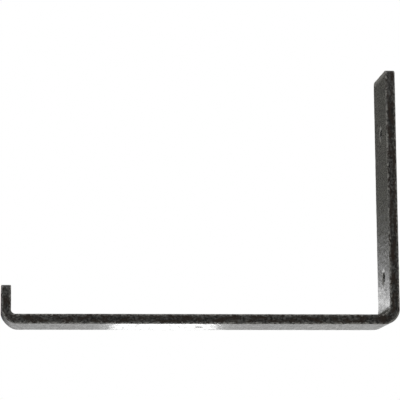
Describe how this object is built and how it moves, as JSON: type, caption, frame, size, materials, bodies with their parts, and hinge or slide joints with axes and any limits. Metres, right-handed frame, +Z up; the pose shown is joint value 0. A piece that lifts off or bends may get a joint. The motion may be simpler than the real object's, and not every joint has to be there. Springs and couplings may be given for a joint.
{
  "type": "shelf bracket",
  "caption": "Flat steel bar bent into a lipped shelf bracket: a tall wall leg with countersunk screw holes, a level arm with a screw hole, and a short front lip.",
  "frame": {"origin": "middle of the arm's underside, halfway between the lip's outer face and the wall face", "axes": "+X towards the wall, +Y across the width of the bar, +Z up"},
  "size_m": [0.242, 0.04, 0.158],
  "materials": {
    "waxed_steel": "black waxed mild steel, satin on the wide faces, hammered on the narrow edges"
  },
  "bodies": {
    "root": {"bracket": "waxed_steel"}
  },
  "joints": []
}
